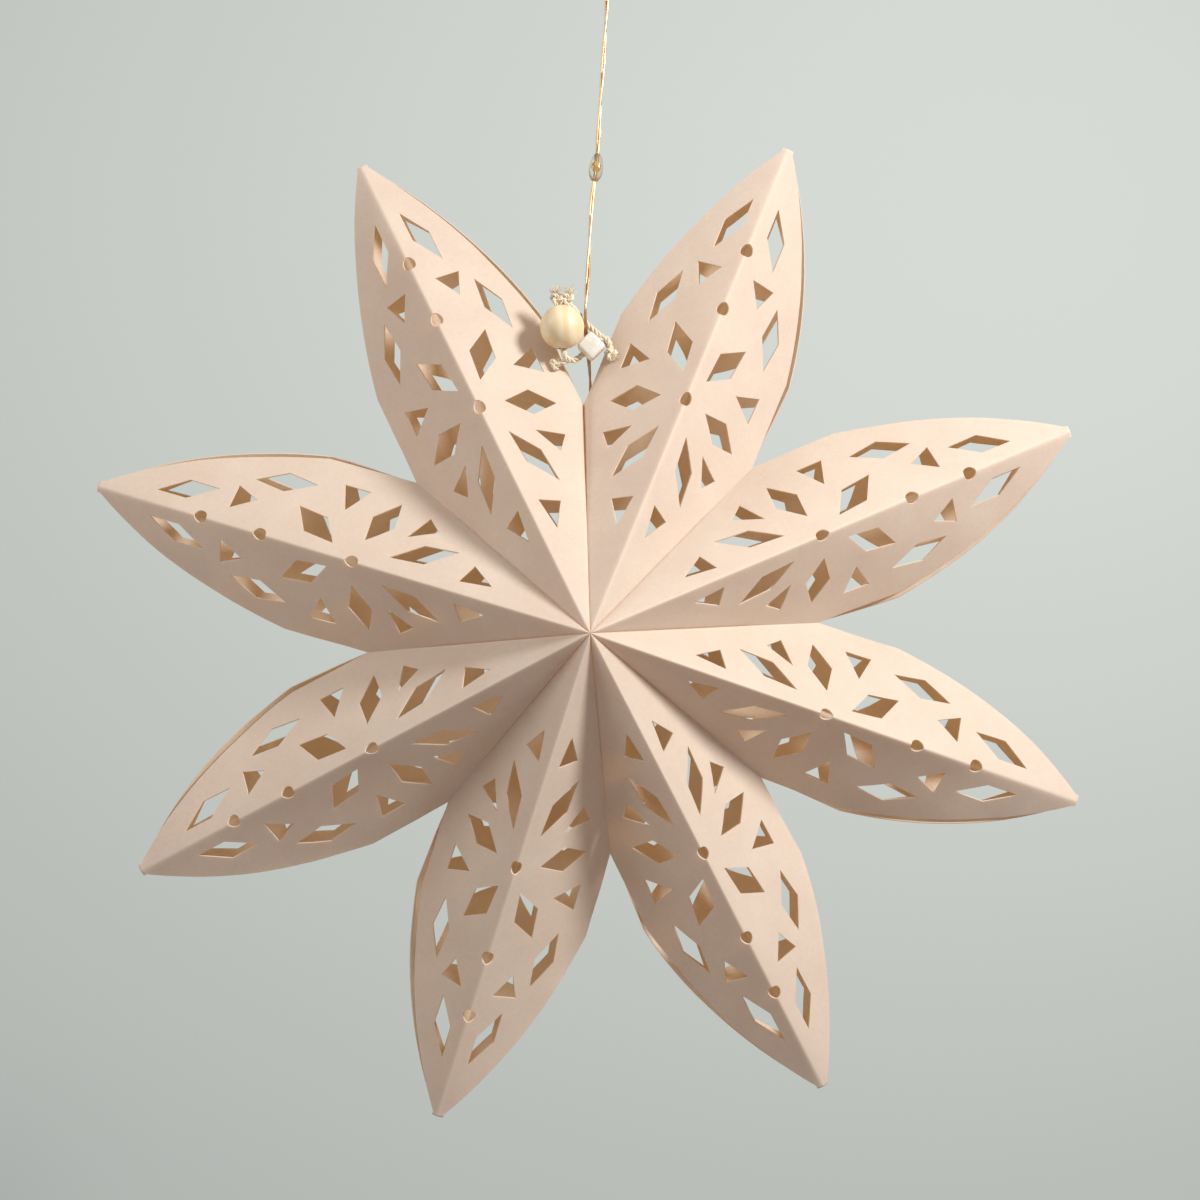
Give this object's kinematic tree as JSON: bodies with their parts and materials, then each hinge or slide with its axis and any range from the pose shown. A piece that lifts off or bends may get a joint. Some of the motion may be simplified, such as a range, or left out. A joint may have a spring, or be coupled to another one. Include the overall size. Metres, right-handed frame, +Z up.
{
  "type": "folded paper star lantern",
  "caption": "Hanging star folded from pierced card arms with glued valleys, tied shut at the top with a bead and cord loop, on a fine wire with a small light drop.",
  "frame": {"origin": "centre of the star, halfway between its front and back peaks, in the hollow that holds the light", "axes": "+Z up along the hanging wire, -Y towards the front peak, +X to the right seen from the front"},
  "size_m": [0.2108, 0.0718, 0.2635],
  "materials": {
    "card": "matt warm white card",
    "round_bead": "smooth pale wood",
    "square_bead": "milky gloss",
    "cotton_cord": "twisted cotton",
    "light_wire": "lacquered copper colour",
    "light_drop": "clear resin drop"
  },
  "bodies": {
    "root": {"arm_1": "card", "arm_2": "card", "arm_3": "card", "arm_4": "card", "arm_5": "card", "arm_6": "card", "arm_7": "card", "arm_8": "card", "round_bead": "round_bead", "square_bead": "square_bead", "cord_loop": "cotton_cord", "hanging_wire": "light_wire", "wire_eye": "light_wire", "light_drop": "light_drop"}
  },
  "joints": []
}
